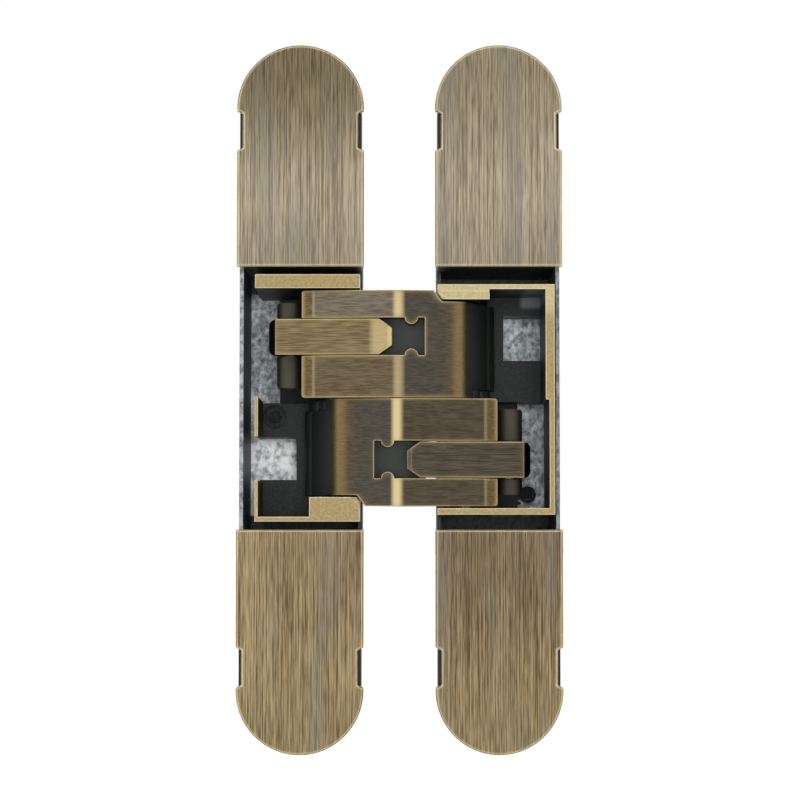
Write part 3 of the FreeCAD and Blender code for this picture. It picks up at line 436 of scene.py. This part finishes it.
def body_finish():
    """Black lacquer over die-cast zinc, bare and mottled on the pocket floor and the outer rim, with painted
    light and shade on the zinc.
    """
    finish = Finish("black_lacquer_and_bare_zinc")
    mottle = finish.noise([0.9 * MM, 0.9 * MM, 1.2 * MM], detail=6.0, roughness=0.72)
    cloud = finish.noise([3 * MM] * 3, detail=3.0, shift=5.0)
    zinc = finish.mix(finish.rise(mottle, 0.3, 0.68), *ZINC_TONES)
    zinc = finish.mix(finish.rise(cloud, 0.4, 0.68, 0.0, 0.5), zinc, ZINC_CLOUD)
    bright = finish.mix(finish.rise(finish.maths("ADD", mottle, cloud), 0.72, 1.16), *LIT_ZINC_TONES)
    # Painted light: the zinc is painted brighter, as if lit, only low on the frame leaf
    zinc = finish.mix(finish.side("X"), finish.mix(finish.side("Z"), bright, zinc), zinc)
    in_pocket, on_floor, on_rim = body_areas(finish)
    speckle = finish.rise(mottle, 0.3, 0.7)
    lacquer = finish.mix(in_pocket, finish.mix(speckle, *LACQUER_TONES), finish.mix(speckle, *POCKET_TONES))
    worn_rim = finish.mix(finish.rise(mottle, 0.36, 0.62), *WORN_RIM_TONES)
    # Bare worn zinc on the outer rim, with painted shade dimming it on the door leaf
    rim_wear_and_shade = finish.product(on_rim, finish.rise(finish.axis("X"), -MM, MM, 1.0, 0.6))
    colour = finish.mix(rim_wear_and_shade, finish.mix(on_floor, lacquer, zinc), worn_rim)
    finish.set(Base_Color=colour, Metallic=finish.rise(on_floor, 0.2, 0.8, 0.0, 0.2),
               Roughness=0.5, Specular_IOR_Level=0.3, Normal=finish.relief(mottle, 0.05 * MM))
    return finish.material


STEEL_EDGE = tone(190, 190, 188)


def steel_finish(name, dark, light, roughness):
    """Turned or pressed steel with a fine grain."""
    finish = Finish(name)
    grain = finish.noise([0.2 * MM, 0.2 * MM, 1.5 * MM], detail=3.0)
    colour = finish.mix(finish.rise(grain, 0.35, 0.65), dark, light)
    colour = finish.mix(finish.edges(0.15 * MM, 0.16, 0.02), colour, finish.mix(0.5, light, STEEL_EDGE))
    finish.set(Base_Color=colour, Metallic=1.0, Roughness=roughness,
               Normal=finish.relief(grain, 0.01 * MM, finish.rounded_normal(0.1 * MM)))
    return finish.material


def dress_nodes():
    """Give every piece of the hinge its finish, by the record's material slot."""
    finishes = {
        "cover_brass": cover_finish(),
        "arm_brass": arm_finish(),
        "carrier_brass": carrier_finish(),
        "body_zinc": body_finish(),
        "pin_steel": steel_finish("ground_steel", tone(120, 120, 120), tone(176, 176, 176), 0.3),
        "clip_steel": steel_finish("blackened_spring_steel", tone(30, 30, 30), tone(52, 52, 50), 0.4),
        "adjuster_steel": steel_finish("blackened_steel", tone(40, 42, 42), tone(62, 64, 64), 0.45),
    }
    link_brass = link_finish()
    for subpart in frame["record"]["subparts"]:
        name = subpart["node"]
        slot = subpart["material_slot"]
        piece = frame["nodes"][name]
        piece.data.materials.clear()
        piece.data.materials.append(link_brass if name.endswith("_link") else finishes[slot])


def place_camera():
    """Square to the leaves and a little below them, at the photograph's scale."""
    data = bpy.data.cameras.new("camera")
    data.sensor_width = SENSOR_WIDTH
    view_width = PHOTO_WIDTH / PIXELS_PER_MM * MM
    data.lens = SENSOR_WIDTH * CAMERA_DISTANCE / view_width
    data.clip_start = 10 * MM
    data.clip_end = 10.0
    camera = bpy.data.objects.new("camera", data)
    bpy.context.scene.collection.objects.link(camera)
    middle = PHOTO_WIDTH / 2
    aim = Vector(((middle - HINGE_CENTRE_PIXEL[0]) / PIXELS_PER_MM * MM, 0,
                  (HINGE_CENTRE_PIXEL[1] - middle) / PIXELS_PER_MM * MM))
    away = Vector((0, -math.cos(CAMERA_BELOW), -math.sin(CAMERA_BELOW)))
    camera.location = aim + away * CAMERA_DISTANCE
    camera.rotation_mode = "QUATERNION"
    camera.rotation_quaternion = (-away).to_track_quat("-Z", "Y")
    bpy.context.scene.camera = camera


# Name, place, width and height, power in watts, and whether the brass mirrors it. The fill isn't
# mirrored, so it reaches into the pockets without washing out the brass.
LAMPS = (
    ("left_soft_box", (-0.55, -0.35, 0.15), (0.5, 0.7), 1.2, True),
    ("right_soft_box", (0.55, -0.30, 0.10), (0.4, 0.7), 0.9, True),
    ("top_soft_box", (0.0, -0.35, 0.60), (0.8, 0.4), 1.4, True),
    ("front_fill", (0.05, -0.90, 0.02), (0.3, 0.3), 6.5, False),
)
# Strength of the white world where it lights the hinge and where it is seen
WORLD_LEVELS = (0.6, 1.0)


def place_lamp(name, place, size, power, mirrored):
    """A rectangle of light that faces the middle of the hinge."""
    data = bpy.data.lights.new(name, "AREA")
    data.shape = "RECTANGLE"
    data.size, data.size_y = size
    data.energy = power
    lamp = bpy.data.objects.new(name, data)
    lamp.visible_glossy = mirrored
    lamp.location = place
    lamp.rotation_mode = "QUATERNION"
    lamp.rotation_quaternion = (-Vector(place)).to_track_quat("-Z", "Y")
    bpy.context.scene.collection.objects.link(lamp)


def backdrop_level(tree, unseen, seen):
    """The seen level for rays from the camera, off gloss or through glass, the unseen one for others."""
    path = tree.nodes.new("ShaderNodeLightPath")
    sees = path.outputs["Is Camera Ray"]
    for kind in ("Is Glossy Ray", "Is Transmission Ray"):
        either = tree.nodes.new("ShaderNodeMath")
        either.operation = "MAXIMUM"
        tree.links.new(sees, either.inputs[0])
        tree.links.new(path.outputs[kind], either.inputs[1])
        sees = either.outputs[0]
    level = tree.nodes.new("ShaderNodeMapRange")
    tree.links.new(sees, level.inputs["Value"])
    level.inputs["To Min"].default_value = unseen
    level.inputs["To Max"].default_value = seen
    return level.outputs["Result"]


def light_scene():
    """Soft boxes to the left, the right and above, a fill from the front, and a white world."""
    for lamp in LAMPS:
        place_lamp(*lamp)
    world = bpy.data.worlds.new("studio")
    bpy.context.scene.world = world
    world.use_nodes = True
    background = world.node_tree.nodes["Background"]
    background.inputs["Color"].default_value = (1, 1, 1, 1)
    world.node_tree.links.new(backdrop_level(world.node_tree, *WORLD_LEVELS), background.inputs["Strength"])


FLOOR_REACH = 6.0
FLOOR_BELOW = 12 * MM
FLOOR_GLOW = 0.85


def lay_floor():
    """A pale floor below the hinge, the white of the backdrop where nothing shades it."""
    low, _ = cad_box
    bm = bmesh.new()
    bmesh.ops.create_grid(bm, x_segments=1, y_segments=1, size=FLOOR_REACH)
    bmesh.ops.translate(bm, verts=bm.verts, vec=(0, 0, low.z - FLOOR_BELOW))
    mesh = bpy.data.meshes.new("floor")
    bm.to_mesh(mesh)
    bm.free()
    floor = bpy.data.objects.new("floor", mesh)
    bpy.context.scene.collection.objects.link(floor)
    material = bpy.data.materials.new("pale_floor")
    material.use_nodes = True
    tree = material.node_tree
    shader = tree.nodes["Principled BSDF"]
    shader.inputs["Base Color"].default_value = tone(170, 170, 170)
    shader.inputs["Roughness"].default_value = 0.9
    shader.inputs["Emission Color"].default_value = (1, 1, 1, 1)
    tree.links.new(backdrop_level(tree, 0.0, FLOOR_GLOW), shader.inputs["Emission Strength"])
    mesh.materials.append(material)


dress_nodes()
place_camera()
light_scene()
lay_floor()
bpy.context.scene.view_settings.view_transform = "Standard"
